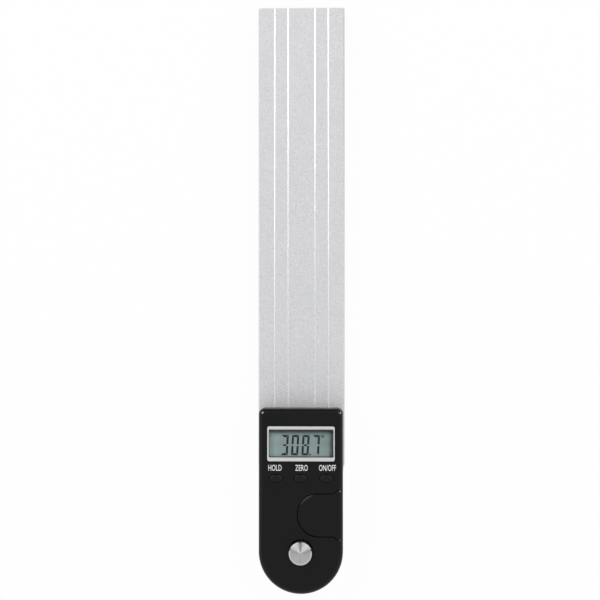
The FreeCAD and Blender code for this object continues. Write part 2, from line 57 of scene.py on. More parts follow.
# The studio: a pale room, darker overhead and at three black flags, with two soft lamps high up
# beyond the tip. Its floor is a plain white table that keeps a faint shadow of the tool.
class Wire:
    """One output of a node. Arithmetic on it adds Math nodes to its tree."""

    def __init__(self, socket):
        self.socket = socket

    def out(self, name):
        return Wire(self.socket.node.outputs[name])

    def math(self, operation, *others):
        sockets = dict(enumerate((self, *others)))
        return Tree(self.socket.id_data).node("ShaderNodeMath", {"operation": operation}, sockets)

    def __add__(self, other):
        return self.math("ADD", other)

    def __sub__(self, other):
        return self.math("SUBTRACT", other)

    def __rsub__(self, other):
        return self.math("MULTIPLY_ADD", -1.0, other)

    def __mul__(self, other):
        return self.math("MULTIPLY", other)

    def __truediv__(self, other):
        return self.math("DIVIDE", other)

    __radd__ = __add__
    __rmul__ = __mul__


class Tree:
    """A node tree. node() adds one node, with its settings first and then its sockets."""

    def __init__(self, tree):
        self.tree = tree

    def node(self, kind, settings, sockets, output=0):
        made = self.tree.nodes.new(kind)
        for name, value in settings.items():
            if name == "stops":
                ramp = made.color_ramp.elements
                while len(ramp) < len(value):
                    ramp.new(1)
                for stop, (place, grey) in zip(ramp, value):
                    stop.position, stop.color = place, (grey, grey, grey, 1)
            else:
                setattr(made, name, value)
        for name, value in sockets.items():
            if isinstance(value, Wire):
                self.tree.links.new(value.socket, made.inputs[name])
            else:
                made.inputs[name].default_value = value
        return Wire(made.outputs[output]) if made.outputs else None

    def mix(self, factor, first, second, blend="MIX"):
        """Two colours mixed by a factor."""
        settings = {"data_type": "RGBA", "blend_type": blend}
        return self.node("ShaderNodeMix", settings, {0: factor, 6: first, 7: second}, 2)


room = bpy.data.worlds.new("room")
room.use_nodes = True
scene.world = room
air = Tree(room.node_tree)
room.node_tree.nodes.clear()
sight = air.node("ShaderNodeTexCoord", {}, {}, "Generated")


def towards(direction):
    """How far the line of sight runs along a direction."""
    sockets = {0: sight, 1: direction}
    return air.node("ShaderNodeVectorMath", {"operation": "DOT_PRODUCT"}, sockets, "Value")


ceiling = towards((0, -0.06, 0.998))
overhead = [(0.0, 1.0), (0.6, 1.0), (0.75, 0.80), (0.9, 0.74), (0.96, 0.72), (0.991, 0.65), (1.0, 0.60)]
glow = air.node("ShaderNodeValToRGB", {"stops": overhead}, {0: ceiling})
level = air.node("ShaderNodeSeparateXYZ", {}, {"Vector": glow})
flags = ((93, 0.16, 1.0), (11, 0.12, 0.95), (165, 0.13, 1.0))
for azimuth, width, depth in flags:
    along = (math.cos(math.radians(azimuth)), math.sin(math.radians(azimuth)), 0)
    across = towards((-along[1], along[0], 0)).math("ABSOLUTE")
    inside = (across * (-1 / width) + 1.5).math("MINIMUM", 1.0).math("MAXIMUM", 0.0)
    beyond = (towards(along) * 6 - 0.9).math("MINIMUM", 1.0).math("MAXIMUM", 0.0)
    level = level * (inside * beyond * -depth + 1)
sky = air.node("ShaderNodeBackground", {}, {"Color": level, "Strength": 1.0})
air.node("ShaderNodeOutputWorld", {}, {"Surface": sky})

lamp_places, lamp_aim = ((-0.50, 0.48, 0.92), (0.46, 0.51, 0.92)), Vector((0, 0.1, 0))
for place in lamp_places:
    lamp = bpy.data.lights.new("lamp", "AREA")
    lamp.shape = "RECTANGLE"
    lamp.size, lamp.size_y = 0.86, 0.30
    lamp.energy = 2.5
    stand = bpy.data.objects.new("lamp", lamp)
    scene.collection.objects.link(stand)
    stand.location = place
    stand.rotation_euler = (lamp_aim - stand.location).to_track_quat("-Z", "Y").to_euler()

table_mesh = bpy.data.meshes.new("table")
reach, table_z = 3.0, -0.00003
table_mesh.from_pydata([(-reach, -reach, table_z), (reach, -reach, table_z), (reach, reach, table_z),
                        (-reach, reach, table_z)], [], [(0, 1, 2, 3)])
table = bpy.data.objects.new("table", table_mesh)
scene.collection.objects.link(table)
white = bpy.data.materials.new("white_table")
white.use_nodes = True
white.node_tree.nodes.clear()
board = Tree(white.node_tree)
path = board.node("ShaderNodeLightPath", {}, {}, "Is Camera Ray")
seen = path + path.out("Is Glossy Ray") + path.out("Is Transmission Ray")
cloud = board.node("ShaderNodeTexNoise", {}, {"Scale": 3.0, "Detail": 2.0})
tint = board.mix(cloud, (0.9, 0.9, 0.9, 1), (0.94, 0.94, 0.94, 1))
matt = board.node("ShaderNodeBsdfDiffuse", {}, {"Color": tint})
lit = board.node("ShaderNodeEmission", {}, {"Color": (1, 1, 1, 1), "Strength": 1.0})
seen_share = seen.math("MINIMUM", 1.0) * 0.94
both = board.node("ShaderNodeMixShader", {}, {0: seen_share, 1: matt, 2: lit})
board.node("ShaderNodeOutputMaterial", {}, {"Surface": both})
table_mesh.materials.append(white)


# The two arms: equal bars of aluminium plate, bead blasted and clear anodised, their rule lines and
# edges cut bright afterwards. A neck is milled at the pivot end. All sizes are in millimetres.
class Finish(Tree):
    """A material round one Principled shader. What is the same all over is set on its own sockets."""

    def __init__(self, name, constants):
        self.material = bpy.data.materials.new(name)
        self.material.use_nodes = True
        super().__init__(self.material.node_tree)
        self.shader = self.tree.nodes["Principled BSDF"]
        for socket, value in constants.items():
            self.shader.inputs[socket].default_value = value
        self.place = self.node("ShaderNodeTexCoord", {}, {}, "Object")

    def feed(self, socket, wire):
        self.tree.links.new(wire.socket, self.shader.inputs[socket])

    def split(self, output="X"):
        """One of the place's X, Y and Z, in metres. out() gives the others."""
        return self.node("ShaderNodeSeparateXYZ", {}, {"Vector": self.place}, output)

    def grain(self, size, detail=2.0, contrast=1.0, stretch=(1, 1, 1)):
        """Noise about 0.5 whose spots are `size` millimetres wide."""
        scale = tuple(1000.0 / (size * s) for s in stretch)
        spot = self.node("ShaderNodeMapping", {}, {"Vector": self.place, "Scale": scale})
        noise = self.node("ShaderNodeTexNoise", {}, {"Vector": spot, "Scale": 1.0, "Detail": detail})
        return (noise - 0.5) * contrast + 0.5

    def colour(self, base, spread, wire):
        """The base colour, lighter and darker by the share `spread` as the wire goes from 0 to 1."""
        low, high = [(*[c * (1 + s * spread) for c in base], 1) for s in (-1, 1)]
        mixed = self.mix(wire, low, high)
        self.feed("Base Color", mixed)
        return mixed

    def rough(self, low, high, wire):
        self.feed("Roughness", wire * (high - low) + low)

    def bump(self, wire, depth, strength=1.0):
        """Relief of `depth` millimetres."""
        sockets = {"Height": wire, "Distance": depth / 1000, "Strength": strength}
        self.feed("Normal", self.node("ShaderNodeBump", {}, sockets))


def arc(x, y, radius, start, end, steps):
    """Points on a counter-clockwise arc, angles in degrees."""
    turn = np.radians(np.linspace(start, end, steps + 1))
    return np.column_stack((x + radius * np.cos(turn), y + radius * np.sin(turn)))


def shrink(outline, distance):
    """A closed counter-clockwise outline moved inwards, its corners mitred."""
    ahead = np.roll(outline, -1, 0) - outline
    ahead /= np.linalg.norm(ahead, axis=1)[:, None]
    behind = np.roll(ahead, 1, 0)
    both_ways = ahead + behind
    inwards = np.column_stack((-both_ways[:, 1], both_ways[:, 0]))
    return outline + inwards * (distance / (1 + (ahead * behind).sum(1)))[:, None]


def shell(name, rings, closed=False):
    """A solid through rings of (outline, height). A closed one joins its last ring to its first."""
    count, levels = len(rings[0][0]), len(rings)
    corners = [(x, y, z) for outline, z in rings for x, y in outline]
    faces = []
    for level in range(levels if closed else levels - 1):
        low, high = level * count, (level + 1) % levels * count
        for i in range(count):
            j = (i + 1) % count
            faces.append((low + i, low + j, high + j, high + i))
    if not closed:
        faces.append(tuple(range(count))[::-1])
        faces.append(tuple(range((levels - 1) * count, levels * count)))
    mesh = bpy.data.meshes.new(name)
    mesh.from_pydata(corners, [], faces)
    piece = bpy.data.objects.new(name, mesh)
    scene.collection.objects.link(piece)
    return piece


def bake(piece):
    """The piece's modifiers worked into its mesh."""
    graph = bpy.context.evaluated_depsgraph_get()
    mesh = bpy.data.meshes.new_from_object(piece.evaluated_get(graph), preserve_all_data_layers=True,
                                           depsgraph=graph)
    piece.modifiers.clear()
    piece.data = mesh


def carve(piece, tools, operation="DIFFERENCE"):
    """The tools cut out of the piece, or joined to it. They are used up."""
    chest = bpy.data.collections.new("tools")
    for tool in tools:
        chest.objects.link(tool)
    cut = piece.modifiers.new("cut", "BOOLEAN")
    cut.operation, cut.solver = operation, "EXACT"
    cut.operand_type, cut.collection = "COLLECTION", chest
    bake(piece)
    for tool in tools:
        bpy.data.objects.remove(tool)
    bpy.data.collections.remove(chest)


def block(x0, x1, y0, y1, z0, z1):
    outline = np.array([(x0, y0), (x1, y0), (x1, y1), (x0, y1)], float)
    return shell("block", [(outline, z0), (outline, z1)])


def bar(x, y, radius, z0, z1, steps=64):
    outline = arc(x, y, radius, 0, 360, steps)[:-1]
    return shell("bar", [(outline, z0), (outline, z1)])


def soften(piece, angle=32):
    """Smooth faces with creases where they meet at more than the angle."""
    piece.data.shade_smooth()
    piece.data.set_sharp_from_angle(angle=math.radians(angle))
    even = piece.modifiers.new("even", "WEIGHTED_NORMAL")
    even.keep_sharp = True
    bake(piece)


def settle(piece, name, finish, body, slot, *replaced):
    """The piece brought from millimetres to metres, given its finish and put on its body."""
    piece.name = name
    piece.data.transform(Matrix.Scale(0.001, 4))
    if finish:
        piece.data.materials.clear()
        piece.data.materials.append(finish.material)
    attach(piece, body)
    if replaced:
        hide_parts(*replaced)


def recipe(name, inputs, build):
    """A Geometry Nodes tree with named inputs. build gets it and its wires and returns the result."""
    group = bpy.data.node_groups.new(name, "GeometryNodeTree")
    group.interface.new_socket("Geometry", in_out="INPUT", socket_type="NodeSocketGeometry")
    kinds = {int: "NodeSocketInt", float: "NodeSocketFloat", str: "NodeSocketMaterial",
             type(None): "NodeSocketObject"}
    for label, value in inputs.items():
        socket = group.interface.new_socket(label, in_out="INPUT", socket_type=kinds[type(value)])
        if isinstance(value, (int, float)):
            socket.default_value = value
    group.interface.new_socket("Geometry", in_out="OUTPUT", socket_type="NodeSocketGeometry")
    tree = Tree(group)
    start = tree.node("NodeGroupInput", {}, {})
    wires = {label: start.out(label) for label in ("Geometry", *inputs)}
    tree.node("NodeGroupOutput", {}, {"Geometry": build(tree, wires)})
    return group


def follow(piece, group, values):
    """A tree run on the piece with these input values, and worked into its mesh."""
    modifier = piece.modifiers.new(group.name, "NODES")
    modifier.node_group = group
    for item in group.interface.items_tree:
        if item.in_out == "INPUT" and item.name in values:
            modifier[item.identifier] = values[item.name]
    bake(piece)


def cut_rule_lines(tree, wires):
    """V grooves on both sides of the bar's middle, then bright metal on every sloping face."""
    each = wires["Lines each side"]
    first = tree.node("ShaderNodeCombineXYZ", {}, {"X": each * wires["Pitch"] * -1, "Y": wires["Start"],
                                                   "Z": wires["Face"]})
    step = tree.node("ShaderNodeCombineXYZ", {}, {"X": wires["Pitch"]})
    row = tree.node("GeometryNodeMeshLine", {},
                    {"Count": each * 2 + 1, "Start Location": first, "Offset": step})
    index = tree.node("GeometryNodeInputIndex", {}, {})
    middle = tree.node("FunctionNodeCompare", {"data_type": "INT", "operation": "EQUAL"}, {2: index, 3: each})
    row = tree.node("GeometryNodeDeleteGeometry", {}, {"Geometry": row, "Selection": middle})
    far = tree.node("ShaderNodeCombineXYZ", {}, {"Y": wires["Length"]})
    line = tree.node("GeometryNodeCurvePrimitiveLine", {}, {"End": far})
    left = tree.node("ShaderNodeCombineXYZ", {}, {"X": wires["Width"] * -0.5})
    right = tree.node("ShaderNodeCombineXYZ", {}, {"X": wires["Width"] * 0.5})
    above = tree.node("ShaderNodeCombineXYZ", {}, {"Y": wires["Depth"]})
    below = tree.node("ShaderNodeCombineXYZ", {}, {"Y": wires["Depth"] * -1})
    diamond = tree.node("GeometryNodeCurvePrimitiveQuadrilateral", {"mode": "POINTS"},
                        {"Point 1": left, "Point 2": below, "Point 3": right, "Point 4": above})
    cutter = tree.node("GeometryNodeCurveToMesh", {},
                       {"Curve": line, "Profile Curve": diamond, "Fill Caps": True})
    cutters = tree.node("GeometryNodeInstanceOnPoints", {}, {"Points": row, "Instance": cutter})
    cutters = tree.node("GeometryNodeRealizeInstances", {}, {"Geometry": cutters})
    grooved = tree.node("GeometryNodeMeshBoolean", {"operation": "DIFFERENCE", "solver": "EXACT"},
                        {"Mesh 1": wires["Geometry"], "Mesh 2": cutters})
    plain = tree.node("GeometryNodeSetMaterial", {}, {"Geometry": grooved, "Material": wires["Blasted"]})
    normal = tree.node("GeometryNodeInputNormal", {}, {})
    slope = tree.node("ShaderNodeSeparateXYZ", {}, {"Vector": normal}, "Z").math("ABSOLUTE")
    mean_slope, spread = 0.80, 0.17
    sloping = slope.math("COMPARE", mean_slope, spread)
    return tree.node("GeometryNodeSetMaterial", {}, {"Geometry": plain, "Selection": sloping,
                                                     "Material": wires["Bright"]})


rule_lines = recipe("rule_lines", {
    "Lines each side": 2, "Pitch": 5.0, "Width": 0.55, "Depth": 0.115, "Start": -30.0, "Length": 250.0,
    "Face": 10.5, "Blasted": "", "Bright": ""}, cut_rule_lines)

blasted = Finish("blasted_anodised", {"Metallic": 0.2, "Specular IOR Level": 0.3})
pits = blasted.grain(0.40, 3.0, 2.3)
patches = blasted.grain(9.0, 2.0, 1.0)
blasted.colour((0.665, 0.667, 0.680), 0.19, pits * 0.85 + patches * 0.15)
blasted.rough(0.38, 0.50, pits)
blasted.bump(blasted.grain(0.16, 2.0, 1.5), 0.010)

bright = Finish("bright_cut", {"Metallic": 1.0})
strokes = bright.grain(0.12, 1.0, 1.2, (1, 8, 1))
fresh = bright.colour((0.86, 0.86, 0.865), 0.03, strokes)
# Painted shade: the bright cuts turn darker towards the head, from 105 mm downwards.
along = bright.split("Y") * 1000
head_shade_below, head_shade_fade = 105, 42
painted_head_shade = ((along * -1 + head_shade_below) / head_shade_fade).math("MINIMUM", 1.0).math("MAXIMUM", 0.0)
bright.feed("Base Color", bright.mix(painted_head_shade, fresh, (0.82, 0.82, 0.83, 1)))
bright.rough(0.24, 0.34, strokes)

arm_half, arm_thick, arm_tip, tip_cut = 16.0, 5.0, 200.9, 0.4
rear_back, front_back = 0.0, 5.5
neck_radius, neck_end, cutter_radius = 15.2, 24.8, 25.0
shoulder = math.degrees(math.acos(1 - (arm_half - neck_radius) / cutter_radius))
neck_x = neck_radius + cutter_radius
plan = np.concatenate([
    arc(0, 0, neck_radius, 180, 360, 96),
    arc(neck_x, neck_end, cutter_radius, 180, 180 - shoulder, 8),
    [(arm_half, arm_tip - tip_cut), (arm_half - tip_cut, arm_tip),
     (tip_cut - arm_half, arm_tip), (-arm_half, arm_tip - tip_cut)],
    arc(-neck_x, neck_end, cutter_radius, shoulder, 0, 8),
])
screw_places = [(-12.35, 49.0), (12.35, 49.0), (-10.116, -7.084), (10.116, -7.084)]


def arm_blank(z):
    edge = 0.35
    return shell("arm", [(shrink(plan, edge), z), (plan, z + edge), (plan, z + arm_thick - edge),
                         (shrink(plan, edge), z + arm_thick)])


def sensor_groove(z0, z1):
    outer, inner = [arc(0, 0, radius, 0, 360, 96)[:-1] for radius in (9.1, 7.0)]
    return shell("groove", [(outer, z0), (outer, z1), (inner, z1), (inner, z0)], closed=True)


def dress_arm(arm, name, z, body, replaced):
    follow(arm, rule_lines, {"Face": z + arm_thick, "Blasted": blasted.material, "Bright": bright.material})
    soften(arm, 25)
    settle(arm, name, None, body, "arm_anodised", replaced)


front_arm = arm_blank(front_back)
bush_bore = bar(0, 0, 4.06, 5, 11, 96)
ribbon_bed, ribbon_slot = block(-9.1, -3.9, 6.0, 11.8, 5, 6.3), block(-9.0, -4.0, 10.5, 11.7, 5, 11)
front_cuts = [bush_bore, sensor_groove(5, 6.3), ribbon_bed, ribbon_slot]
for x, y in screw_places:
    rim, hole = arc(x, y, 2.1, 0, 360, 48)[:-1], arc(x, y, 1.1, 0, 360, 48)[:-1]
    front_cuts.append(shell("sink", [(rim, 5.4), (rim, 5.5), (hole, 6.45), (hole, 11)]))
carve(front_arm, front_cuts)
dress_arm(front_arm, "front_arm", front_back, "head", "base_arm")

rear_arm = arm_blank(rear_back)
flange_seat = bar(0, 0, 6.02, -1, 1.4, 128)
key_bore = arc(0, 0, 3.52, 0, 360, 96)[:-1]
key_bore[:, 0] = np.clip(key_bore[:, 0], -3.02, 3.02)
carve(rear_arm, [flange_seat, shell("key", [(key_bore, -1), (key_bore, 6)]), sensor_groove(4.2, 6)])
dress_arm(rear_arm, "rear_arm", rear_back, "swing", "swing_arm")


# The head's cover: one moulding in black ABS with a rounded front edge, open at the back, with the
# cell's tub, screw posts and board lugs inside. Four screws from behind hold it to the front arm.
moulded = Finish("moulded_abs", {"Specular IOR Level": 0.25, "Coat Roughness": 0.16, "Coat IOR": 2.1})
skin = moulded.grain(0.22, 2.0, 1.5)
flow = moulded.grain(11.0, 3.0, 1.3)
moulded.colour((0.0016, 0.0017, 0.0018), 0.5, skin * 0.5 + flow * 0.5)
moulded.rough(0.28, 0.38, skin * 0.6 + flow * 0.4)
moulded.bump(skin, 0.006)
spot = moulded.split()
across, along = spot * 1000, spot.out("Y") * 1000


def away(x, y):
    """How far a point is from a place, given its distances from there across and along the head."""
    return (x * x + y * y).math("SQRT")


# Glossier spots, set where the real head catches the light: at its two upper corners, at the ends
# of the lid's gap on the right, and along the lid's rim at the upper left. Each has a place and a reach.
cell_x, cell_y, lid_half, ear_half = 6.565, 13.303, 7.925, 9.055
corners = away((across - 0.34).math("ABSOLUTE") - 14.19, along - 50.47).math("LESS_THAN", 0.32)
ends = away(across - 14.35, (along - 13.3).math("ABSOLUTE") - 8.93).math("LESS_THAN", 0.36)
upper_left = (along * 0.81 - across * 0.588 - 6.915).math("GREATER_THAN", 7.05)
rim = away(across - cell_x, along - cell_y).math("COMPARE", 7.6, 0.42) * upper_left * 0.25
moulded.feed("Coat Weight", (corners + ends * 0.6 + rim).math("MINIMUM", 1.0))

head_half, head_top, head_back, face, roof = 15.35, 52.0, 10.5, 19.5, 17.9
corner, edge_radius, wall = 2.0, 1.7, 1.6
head_plan = np.concatenate([
    arc(0, 0, head_half, 180, 360, 128),
    arc(head_half - corner, head_top - corner, corner, 0, 90, 12),
    arc(corner - head_half, head_top - corner, corner, 90, 180, 12),
])


def head_solid(name):
    """The head's outer form, its front edge rolled over in a quarter circle."""
    rings = [(head_plan, head_back)]
    for turn in np.radians(np.linspace(0, 90, 13)):
        rings.append((shrink(head_plan, edge_radius * (1 - math.cos(turn))),
                      face - edge_radius + edge_radius * math.sin(turn)))
    return shell(name, rings)


def shave(piece, place, lean, depth):
    """A small flat on the piece, square to `lean` and `depth` below the place."""
    square = np.array([(-1, -1), (1, -1), (1, 1), (-1, 1)], float)
    plane = shell("plane", [(square, -depth), (square, 2.0)])
    turn = Vector(lean).to_track_quat("Z", "Y").to_matrix().to_4x4()
    plane.data.transform(Matrix.Translation(place) @ turn)
    carve(piece, [plane])


def octagon(x, y, half, z0, z1):
    outline = arc(x, y, half / math.cos(math.pi / 8), 22.5, 382.5, 8)[:-1]
    return shell("octagon", [(outline, z0), (outline, z1)])


def flared(outline, z0, flare):
    """A cutter that opens out in a small round where it leaves the face."""
    rings = [(outline, z0)]
    for turn in np.radians((0, 30, 60, 90)):
        rings.append((shrink(outline, -flare * (1 - math.cos(turn))), face - flare * (1 - math.sin(turn))))
    rings.append((shrink(outline, -flare), face + 1))
    return shell("flared", rings)


def lens_outline(x, y, half_length, half_height):
    """Two equal arcs that meet in points."""
    radius = (half_length ** 2 + half_height ** 2) / (2 * half_height)
    turn = math.degrees(math.asin(half_length / radius))
    lower = arc(x, y + radius - half_height, radius, 270 - turn, 270 + turn, 24)
    upper = arc(x, y - radius + half_height, radius, 90 - turn, 90 + turn, 24)
    return np.concatenate((lower[:-1], upper[:-1]))


def frame_outline(half, low, high, corner, middle=0.12, steps=6):
    """A rounded rectangle about the display's middle, with the same number of points whatever its size."""
    left, right, y0, y1 = middle - half + corner, middle + half - corner, low + corner, high - corner
    return np.concatenate((arc(left, y0, corner, 180, 270, steps), arc(right, y0, corner, 270, 360, steps),
                           arc(right, y1, corner, 0, 90, steps), arc(left, y1, corner, 90, 180, steps)))


bow = arc(0, 0, lid_half, 90, 270, 64)
bow *= 1 + 0.04 * np.sin(np.clip(np.linspace(0, 4, 65), 0, 2) / 2 * math.pi)[:, None] ** 2
lid_plan = np.concatenate([
    bow + (cell_x, cell_y),
    [(12.1, cell_y - lid_half), (13.1, cell_y - ear_half), (17.0, cell_y - ear_half),
     (17.0, cell_y + ear_half), (13.1, cell_y + ear_half), (12.1, cell_y + lid_half)],
])
key_y, key_places = 26.648, {"hold": -8.996, "zero": 0.0, "power": 9.4}

cover = head_solid("head_cover")
shave(cover, (-13.87, 50.50, 19.38), (-0.21, 0.26, 0.942), 0.035)
shave(cover, (14.50, 50.38, 19.22), (0.30, 0.18, 0.937), 0.035)
cavity = shell("cavity", [(shrink(head_plan, wall), 9.0), (shrink(head_plan, wall), roof)])
carve(cover, [cavity])
deck_half, tub_half, post_half, lug_half = 9.825, 7.15, 1.9, 1.5
inside = [
    octagon(cell_x, cell_y, deck_half, 16.2, 18.2),
    block(cell_x, 14.6, cell_y - deck_half, cell_y + deck_half, 16.2, 18.2),
    octagon(cell_x, cell_y, tub_half, 10.8, 17.2),
]
for x, y in screw_places:
    inside.append(block(x - post_half, x + post_half, y - post_half, y + post_half, head_back, 18.2))
for y in (key_y, 39.223):
    inside.append(block(12.85, 14.5, y - lug_half, y + lug_half, 12.17, 12.97))
    inside.append(block(-14.5, -12.85, y - lug_half, y + lug_half, 12.17, 12.97))
carve(cover, inside, "UNION")
knob_ring = arc(0, 0, 4.6, 0, 360, 96)[:-1]
openings = [
    flared(knob_ring, 17.0, 0.12),
    bar(cell_x, cell_y, 5.95, 11.8, 17.5, 96),
    flared(lid_plan, 17.2, 0.08),
    block(13.75, 17.0, cell_y - ear_half, cell_y + ear_half, 14.1, 20.0),
    block(5.565, 13.1, cell_y + 6.925, cell_y + 8.625, 17.2, 18.1),
    block(5.565, 13.1, cell_y - 8.625, cell_y - 6.925, 17.2, 18.1),
    block(cell_x - 2.8, cell_x - 0.6, cell_y, cell_y + 8.15, 11.8, 12.5),
    block(cell_x + 0.6, cell_x + 2.8, cell_y, cell_y + 8.15, 12.5, 16.2),
    flared(frame_outline(12.4, 32.8, 45.65, 0.7), 17.0, 0.10),
]
for x, y in screw_places:
    openings.append(bar(x, y, 1.02, 9.0, 15.1, 32))
for place in key_places.values():
    openings.append(flared(lens_outline(place, key_y, 2.75, 1.55), 17.0, 0.10))
carve(cover, openings)
shave(cover, (14.38, cell_y - ear_half, 19.337), (0.257, 0.342, 0.904), 0.09)
soften(cover, 30)
settle(cover, "head_cover", moulded, "head", "housing_black", "front_cover")


# The cell's sliding lid: the same black ABS, with a skirt that forms part of the head's right wall
# and two rails that run in slots under its edges. It pulls out to the right.
lid = head_solid("cell_lid")
lid_gap, lid_round = 0.2, 0.36
rounding = [(shrink(lid_plan, lid_gap), 18.1)]
for turn in np.radians((0, 15, 30, 45, 60, 75, 90)):
    rounding.append((shrink(lid_plan, lid_gap + lid_round * (1 - math.cos(turn))),
                     face - lid_round * (1 - math.sin(turn))))
tongue = shell("tongue", rounding + [(shrink(lid_plan, lid_gap + lid_round), 20.5)])
skirt = block(13.95, 17.0, cell_y - ear_half + lid_gap, cell_y + ear_half - lid_gap, 14.3, 19.3)
carve(tongue, [skirt], "UNION")
carve(lid, [tongue], "INTERSECT")
rails = []
for side in (-1, 1):
    low, high = sorted((side * 6.925, side * 8.525))
    rails.append(block(cell_x, 13.1, cell_y + low, cell_y + high, 17.3, 18.0))
    low, high = sorted((side * 6.925, side * 7.725))
    rails.append(block(cell_x, 13.1, cell_y + low, cell_y + high, 17.3, 18.3))
carve(lid, rails, "UNION")
shave(lid, (14.38, cell_y + ear_half - lid_gap, 19.337), (0.257, 0.342, 0.904), 0.14)
soften(lid, 30)
settle(lid, "cell_lid", moulded, "cell_cover", "housing_black", "battery_cover")


# Three keys in one row under the display: oval black caps with crowned tops in lens-shaped holes,
# each with a flange behind the face and a stem that presses a snap dome.
rubbed = Finish("key_plastic", {"Specular IOR Level": 0.28})
wear = rubbed.grain(0.3, 2.0, 1.4)
rubbed.colour((0.0018, 0.0019, 0.0020), 0.4, wear)
rubbed.rough(0.28, 0.38, wear)
rubbed.bump(wear, 0.004)


def oval(x, y, long_half, short_half, end_radius):
    """Four arcs that run smoothly into each other."""
    reach = long_half - end_radius
    large = (reach ** 2 + short_half ** 2 - end_radius ** 2) / (2 * (short_half - end_radius))
    drop = large - short_half
    turn = math.degrees(math.atan2(drop, reach))
    return np.concatenate((
        arc(x + reach, y, end_radius, -turn, turn, 14)[:-1],
        arc(x, y - drop, large, turn, 180 - turn, 22)[:-1],
        arc(x - reach, y, end_radius, 180 - turn, 180 + turn, 14)[:-1],
        arc(x, y + drop, large, 180 + turn, 360 - turn, 22)[:-1],
    ))


crown = [(0.0, 19.40), (0.03, 19.50), (0.09, 19.57), (0.18, 19.62), (0.32, 19.67), (0.5, 19.71),
         (0.68, 19.74)]
for name, x in key_places.items():
    rim = oval(x, key_y, 2.37, 1.42, 0.75)
    cap = shell("cap", [(rim, 17.4)] + [(shrink(rim, inset), z) for inset, z in crown])
    carve(cap, [block(x - 3.1, x + 3.1, key_y - 1.9, key_y + 1.9, 17.3, 17.9),
                block(x - 0.8, x + 0.8, key_y - 0.8, key_y + 0.8, 14.53, 17.5)], "UNION")
    soften(cap, 30)
    settle(cap, name + "_cap", rubbed, name + "_key", "button_black", name + "_button")


# The display's frame: moulded in black plastic, its front coated satin silver, its opening bevelled,
# glued into a seat in the head's face.
silver = Finish("silver_coat", {})
satin = silver.grain(0.25, 2.0, 1.2)
front = (silver.split("Z") * 1000).math("GREATER_THAN", 19.45)
coat = silver.colour((0.74, 0.74, 0.75), 0.06, satin)
silver.feed("Base Color", silver.mix(front, (0.012, 0.012, 0.012, 1), coat))
silver.feed("Metallic", front * 0.75)
silver.rough(0.38, 0.5, satin)
silver.bump(satin, 0.003)

bezel_half, bezel_low, bezel_high, bezel_corner, bezel_round = 12.28, 32.88, 45.58, 0.7, 0.22
bezel_rings = [(frame_outline(bezel_half, bezel_low, bezel_high, bezel_corner), 17.0)]
for turn in np.radians((0, 30, 60, 90)):
    inset = bezel_round * (1 - math.cos(turn))
    bezel_rings.append((frame_outline(bezel_half - inset, bezel_low + inset, bezel_high - inset,
                                      bezel_corner - inset), 19.68 + bezel_round * math.sin(turn)))
bezel_rings += [
    (frame_outline(11.88, 34.15, 44.60, 0.36, 0.17), 19.9),
    (frame_outline(11.86, 34.18, 44.57, 0.35, 0.17), 19.89),
    (frame_outline(11.68, 34.39, 44.32, 0.22, 0.17), 19.57),
    (frame_outline(11.66, 34.41, 44.30, 0.2, 0.17), 19.46),
    (frame_outline(11.66, 34.47, 44.30, 0.2, 0.17), 17.0),
]
bezel = shell("bezel", bezel_rings, closed=True)
soften(bezel, 25)
settle(bezel, "display_frame", silver, "head", "bezel_silver", "display_bezel")


# The display's window: a plain pane of clear acrylic between the frame and the liquid crystal cell,
# held in place by both.
clear = Finish("clear_acrylic", {"Alpha": 0.05, "IOR": 1.49})
haze = clear.grain(6.0, 2.0, 1.2)
clear.colour((0.05, 0.055, 0.055), 0.2, haze)
clear.rough(0.10, 0.16, haze)
window = block(-12.7, 12.7, 32.5, 45.95, 16.3, 16.98)
settle(window, "clear_window", clear, "head", "window_clear", "display_window")


# The liquid crystal cell: two glasses with a reflector behind, which looks grey-green, with painted shade
# along its top and right edges and painted light towards its left. Its lit segments are dark shapes on the
# front glass.
glass = Finish("grey_green_glass", {"Specular IOR Level": 0.3})
mist = glass.grain(2.2, 3.0, 1.4)
spot = glass.split()
top_edge, top_reach, right_edge, right_reach, left_start, left_reach = 44.4, 10.2, 11.72, 3.0, 7.2, 3.4
from_top = spot.out("Y") * (-1000 / top_reach) + top_edge / top_reach
from_right = spot * (-1000 / right_reach) + right_edge / right_reach
painted_left_light = spot * (-1000 / left_reach) - left_start / left_reach
painted_left_light = painted_left_light.math("MINIMUM", 1.0).math("MAXIMUM", 0.0)
# Painted shade under the frame's top and right bars, and painted light towards the left, all in the glass's
# colour.
painted_top_shade = glass.node("ShaderNodeValToRGB", {"stops": [
    (0.0, 0.022), (0.041, 0.06), (0.077, 0.226), (0.113, 0.333), (0.1485, 0.554), (0.184, 0.753),
    (0.22, 0.796), (0.30, 0.823), (0.363, 0.806), (0.435, 0.758), (0.578, 0.747), (0.722, 0.882),
    (0.793, 0.925), (0.9, 1.0)]}, {0: from_top})
painted_right_shade = glass.node("ShaderNodeValToRGB", {"stops": [
    (0.0, 0.2), (0.07, 0.22), (0.19, 0.45), (0.32, 0.68), (0.45, 0.9), (0.55, 1.0)]}, {0: from_right})
tint = glass.mix(painted_left_light, glass.colour((0.412, 0.545, 0.530), 0.05, mist), (0.60, 0.80, 0.77, 1))
tint = glass.mix(1.0, glass.mix(1.0, tint, painted_top_shade, "MULTIPLY"), painted_right_shade, "MULTIPLY")
glass.feed("Base Color", tint)
glass.rough(0.30, 0.42, mist)
nodes["lcd_panel"].data.materials.clear()
nodes["lcd_panel"].data.materials.append(glass.material)

ink = Finish("segment_ink", {"Specular IOR Level": 0.3})
fade = ink.grain(0.7, 2.0, 1.3)
ink.colour((0.020, 0.022, 0.034), 0.3, fade)
ink.rough(0.40, 0.55, fade)

